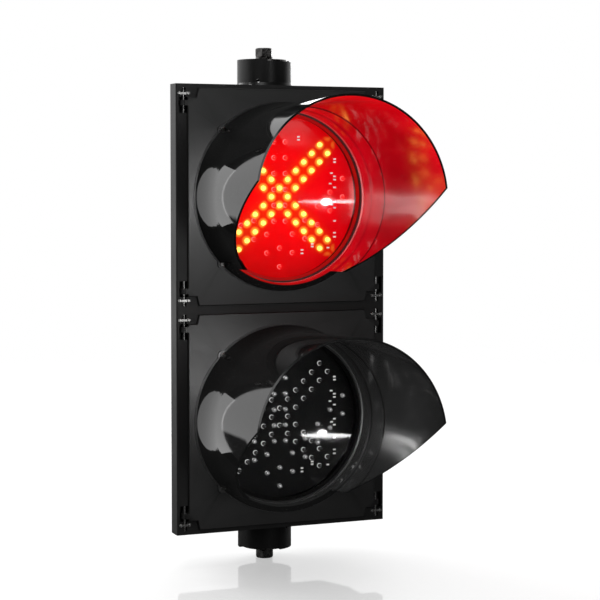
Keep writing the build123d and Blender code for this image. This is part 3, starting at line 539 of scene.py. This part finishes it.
def plastic_materials():
    return [
        # After the two base colours comes the lighter colour painted on sharp edges as a highlight.
        moulded_plastic("housing_plastic", grey(0.020), grey(0.027), edge_highlight=grey(0.07),
                        roughness=0.38, grain=0.7 * MM, depth=0.035 * MM),
        moulded_plastic("door_plastic", grey(0.017), grey(0.023), edge_highlight=grey(0.07),
                        roughness=0.36, grain=0.6 * MM, depth=0.035 * MM),
        moulded_plastic("hub_plastic", grey(0.009), grey(0.014), edge_highlight=grey(0.06),
                        roughness=0.32, grain=0.8 * MM, depth=0.03 * MM),
        moulded_plastic("shell_plastic", grey(0.016), grey(0.024), edge_highlight=grey(0.05),
                        roughness=0.45, grain=0.9 * MM, depth=0.05 * MM),
        moulded_plastic("terminal_plastic", (0.32, 0.31, 0.28), (0.40, 0.39, 0.35), edge_highlight=(0.5, 0.5, 0.45),
                        roughness=0.40, grain=0.5 * MM, depth=0.03 * MM),
        moulded_plastic("driver_parts", (0.015, 0.016, 0.03), (0.03, 0.03, 0.05), edge_highlight=(0.08, 0.08, 0.10),
                        roughness=0.35, grain=0.8 * MM, depth=0.02 * MM),
        moulded_plastic("chip_ceramic", (0.30, 0.29, 0.27), (0.55, 0.54, 0.50), edge_highlight=grey(0.7),
                        roughness=0.35, grain=0.5 * MM, depth=0.01 * MM),
        # Inside tones are painted light: lighter grey in the lower hood to lift its shade, red in the upper
        # for the lit module's light.
        visor_plastic("lower", inside_painted_tone=grey(0.030), lit=False),
        visor_plastic("upper", inside_painted_tone=(0.010, 0.002, 0.002), lit=True),
        rubber("seal_rubber"),
        # The upper seal's red is a painted glow.
        rubber("lens_gasket_upper", painted_red_glow=(0.30, 0.40)),
    ]


def metal_materials():
    return [
        brushed_metal("pin_steel", (0.75, 0.75, 0.74), (0.90, 0.90, 0.88), 0.26, stretch=(1.0, 1.0, 0.15)),
        brushed_metal("screw_steel", (0.42, 0.42, 0.41), (0.62, 0.61, 0.59), 0.28, stretch=(1.0, 1.0, 1.0)),
        brushed_metal("bolt_steel", (0.12, 0.118, 0.115), (0.26, 0.255, 0.25), 0.26, stretch=(1.0, 1.0, 0.4)),
        brushed_metal("clip_steel", grey(0.16), (0.30, 0.30, 0.29), 0.30, stretch=(0.3, 1.0, 1.0)),
        brushed_metal("terminal_brass", (0.55, 0.40, 0.16), (0.75, 0.58, 0.27), 0.28, stretch=(1.0, 1.0, 1.0)),
    ]


def module_materials():
    return [
        clear_plastic("clear_lens"),
        board("board_mask", grey(0.014), grey(0.022), roughness=0.42),
        # The upper board's red is a painted glow.
        board_with_painted_glow("board_mask_upper"),
        board("driver_board", (0.010, 0.06, 0.022), (0.014, 0.09, 0.03), roughness=0.38),
        glowing_led("cross_led_upper", foot=(1.0, 0.22, 0.01), tip=(1.0, 0.62, 0.13), strength=2.2),
        # Painted highlight: the pale feet stand for the bright ring each rim catches.
        clear_led("cross_led_lower", "lower", dome=grey(0.02), foot=grey(0.85), metallic=0.0),
        clear_led("arrow_led_lower", "lower", dome=grey(0.75), foot=grey(0.2), metallic=0.7),
        # Painted light: the red dome, pink foot and glow stand for the lit cross's red light.
        clear_led("arrow_led_upper", "upper", dome=(0.3, 0.02, 0.02), foot=(0.8, 0.3, 0.3), metallic=0.0,
                  painted_red_glow=0.75),
    ]


def plain_name(material):
    """A material's name without the number Blender adds to a name already in use."""
    return material.name.split(".")[0]


def paint_nodes():
    """Every CAD node takes its own material if there is one, else its section's, else its record slot's."""
    made = plastic_materials() + metal_materials() + module_materials()
    materials = {plain_name(material): material for material in made}
    for name, node in NODES.items():
        section = name.rsplit("_", 1)[-1]
        for slot in node.material_slots:
            plain = plain_name(slot.material)
            choices = (name, f"{plain}_{section}", plain)
            slot.material = next(materials[choice] for choice in choices if choice in materials)


# ---------------------------------------------------------------- floor and world

def make_floor():
    """A pale, slightly glossy floor at the lowest point, fading into the white around it."""
    mesh = bpy.data.meshes.new("floor")
    angles = [2 * math.pi * step / FLOOR_RIM_POINTS for step in range(FLOOR_RIM_POINTS)]
    low = CAD_BOX[0][2]
    rim = [(math.cos(angle) * FLOOR_RADIUS, math.sin(angle) * FLOOR_RADIUS, low) for angle in angles]
    mesh.from_pydata(rim, [], [list(range(FLOOR_RIM_POINTS))])
    floor = bpy.data.objects.new("floor", mesh)
    bpy.context.scene.collection.objects.link(floor)
    mesh.materials.append(floor_white())
    floor.visible_glossy = False
    floor.visible_diffuse = False
    floor.visible_transmission = False


def floor_white():
    shader = Shader("floor_white")
    distance = shader.vectors("LENGTH", shader.place)["Value"]
    shader.set(
        Base_Color=(*grey(0.9), 1.0), Roughness=shader.vary(shader.noise(200 * MM), 0.03, 0.05), IOR=1.35,
        Emission_Color=(1, 1, 1, 1), Emission_Strength=0.47, Alpha=shader.fade(distance, *FLOOR_FADE),
    )
    return shader.material


def make_world():
    """White to the camera; to the object, pale behind and above the horizon, and dark elsewhere."""
    world = bpy.data.worlds.new("studio")
    bpy.context.scene.world = world
    world.use_nodes = True
    nodes = Nodes(world.node_tree)
    seen = nodes.add("ShaderNodeBackground")
    seen.inputs["Color"].default_value = (1, 1, 1, 1)
    direction = nodes.split(nodes.add("ShaderNodeTexCoord").outputs["Generated"])
    behind = nodes.share(direction["Y"], *STUDIO_TURN)
    above = nodes.share(direction["Z"], HORIZON - HORIZON_BLEND, HORIZON + HORIZON_BLEND)
    lit = nodes.add("ShaderNodeBackground")
    backdrop = nodes.times(behind, above)
    nodes.link(nodes.between(backdrop, 0.0, 1.0, STUDIO_FRONT, STUDIO_BACK), lit.inputs["Strength"])
    mix = nodes.add("ShaderNodeMixShader")
    nodes.link(nodes.add("ShaderNodeLightPath").outputs["Is Camera Ray"], mix.inputs["Fac"])
    nodes.link(lit.outputs["Background"], mix.inputs[1])
    nodes.link(seen.outputs["Background"], mix.inputs[2])
    nodes.link(mix.outputs["Shader"], nodes.add("ShaderNodeOutputWorld").inputs["Surface"])


# ---------------------------------------------------------------- lights

def area_light(name, shape, width, height, power, place, back):
    """A flat lamp at a place, with its back towards back."""
    data = bpy.data.lights.new(name, "AREA")
    data.shape = shape
    data.size = width
    data.size_y = height
    data.energy = power
    light = bpy.data.objects.new(name, data)
    bpy.context.scene.collection.objects.link(light)
    light.location = place
    light.rotation_mode = "QUATERNION"
    light.rotation_quaternion = back.to_track_quat("Z", "Y")
    return light


def soft_light(name, azimuth, elevation, distance, width, height, power, aim):
    """A softbox at an azimuth and elevation in degrees round the point aim, turned towards it."""
    back = view_back(math.radians(azimuth), math.radians(elevation))
    return area_light(name, "RECTANGLE", width, height, power, aim + back * distance, back)


def collect(name, nodes):
    group = bpy.data.collections.new(name)
    for node in nodes:
        group.objects.link(NODES[node])
    return group


def reach_only(emitter, receivers, blockers=None):
    """The emitter lights the named nodes only; if blockers are named, only they cast shadows in its light."""
    emitter.light_linking.receiver_collection = collect(emitter.name + "_reaches", receivers)
    if blockers:
        emitter.light_linking.blocker_collection = collect(emitter.name + "_blocked_by", blockers)


def make_lights():
    """The studio's softboxes: three in front, two behind, one for the dark hood, one for each set of LEDs."""
    middle = Vector((0.0, -0.06, 0.34))
    soft_light("key", azimuth=-35, elevation=35, distance=1.0, width=0.4, height=0.4, power=1.5,
               aim=middle + Vector((-0.05, 0, 0.22)))
    soft_light("top", azimuth=-10, elevation=70, distance=1.6, width=1.0, height=0.8, power=2.8,
               aim=middle + Vector((0, 0, 0.2)))
    soft_light("front", azimuth=13, elevation=0, distance=1.2, width=0.30, height=0.50, power=0.8,
               aim=Vector((-0.12, -0.06, 0.36)))
    soft_light("back_left", azimuth=-150, elevation=30, distance=2.4, width=1.0, height=1.0, power=12,
               aim=middle)
    soft_light("back_right", azimuth=150, elevation=20, distance=2.4, width=1.0, height=1.0, power=12,
               aim=middle)
    hoods = soft_light("hoods", azimuth=-50, elevation=-5, distance=1.2, width=0.4, height=0.4, power=5,
                       aim=middle)
    reach_only(hoods, ["visor_lower"])
    for section in SECTIONS:
        leds = soft_light(f"leds_{section}", azimuth=-15, elevation=25, distance=1.0,
                          width=0.3, height=0.15, power=14, aim=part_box(f"lens_{section}")[0])
        parts = ("arrow_leds", "cross_leds", "resistors")
        reach_only(leds, [f"{part}_{section}" for part in parts], [f"door_{section}"])


def make_glow():
    """Light linking from the board's painted glow and the lit LEDs to their own section; mirrors still show
    them.
    """
    near = ("visor", "visor_screws", "lens", "lens_gasket", "led_board", "arrow_leds", "cross_leds",
            "resistors", "module_shell")
    for node in ("led_board_upper", "cross_leds_upper"):
        reach_only(NODES[node], [f"{part}_upper" for part in near])


# ---------------------------------------------------------------- glints, streaks and reflections

def mirrored_light(name, place, normal, distance, width, height, power):
    """A lamp that the camera sees mirrored at a place on a surface with the given normal."""
    normal = Vector(normal).normalized()
    sight = (place - bpy.context.scene.camera.location).normalized()
    away = sight - 2 * sight.dot(normal) * normal
    return area_light(name, "ELLIPSE", width, height, power, place + away * distance, away)


def make_glints(section):
    """The lamps' images in a section's lens."""
    for index, glint in enumerate(LENS_GLINTS[section]):
        place = lens_front(section) + Vector((glint.across, 0.0, glint.up))
        light = mirrored_light(f"glint_{section}_{index}", place, (0, -1, 0), GLINT_DISTANCE,
                               glint.width, glint.height, glint.power)
        reach_only(light, [f"lens_{section}", f"visor_{section}"], [f"housing_{section}"])


def make_streak(section):
    """The lamp's streak along the right inner wall of a section's hood."""
    streak = WALL_STREAKS[section]
    outward = Vector((math.cos(streak.angle), 0.0, math.sin(streak.angle)))
    radius = COLLAR_RADIUS + HOOD_FLARE * streak.depth
    place = lens_front(section) + outward * radius - Vector((0, streak.depth, 0))
    light = mirrored_light(f"streak_{section}", place, -outward - Vector((0, HOOD_FLARE, 0)),
                           STREAK_DISTANCE, streak.width, streak.height, STREAK_POWER)
    reach_only(light, [f"visor_{section}"], [f"visor_{section}"])


def make_sheen(section):
    """A soft reflection at the left of a section's door."""
    sheen = DOOR_SHEENS[section]
    front = lens_front(section)
    place = Vector((SHEEN_X, front.y, front.z + sheen.up))
    light = mirrored_light(f"sheen_{section}", place, (0, -1, 0), SHEEN_DISTANCE,
                           SHEEN_SIZE, SHEEN_SIZE, sheen.power)
    reach_only(light, [f"door_{section}", f"visor_{section}"], [f"housing_{section}"])


def make_leaf(section):
    """The pale backdrop as a hood's left side mirrors it, carried on to the flange over the frame's edge."""
    middle = lens_middle(section)
    left = CAD_BOX[0][0]
    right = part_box(f"visor_{section}")[0].x - LEAF_GAP
    width = right - left
    height = LEAF_BELOW + LEAF_ABOVE
    place = Vector((
        (left + right) / 2,
        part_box(f"door_{section}")[0].y - LEAF_AHEAD,
        middle.z + (LEAF_ABOVE - LEAF_BELOW) / 2,
    ))
    power = STUDIO_BACK * math.pi * width * height
    light = area_light(f"leaf_{section}", "RECTANGLE", width, height, power, place, Vector((0, 1, 0)))
    light.visible_camera = False
    reach_only(light, [f"visor_{section}"], [f"housing_{section}"])


# ---------------------------------------------------------------- the scene

def set_tones():
    """Plain tones, so that white stays white."""
    view = bpy.context.scene.view_settings
    view.view_transform = "Standard"
    view.look = "None"


make_camera()
set_tones()
paint_nodes()
make_floor()
make_world()
make_lights()
make_glow()
for section in SECTIONS:
    make_glints(section)
    make_streak(section)
    make_sheen(section)
    make_leaf(section)
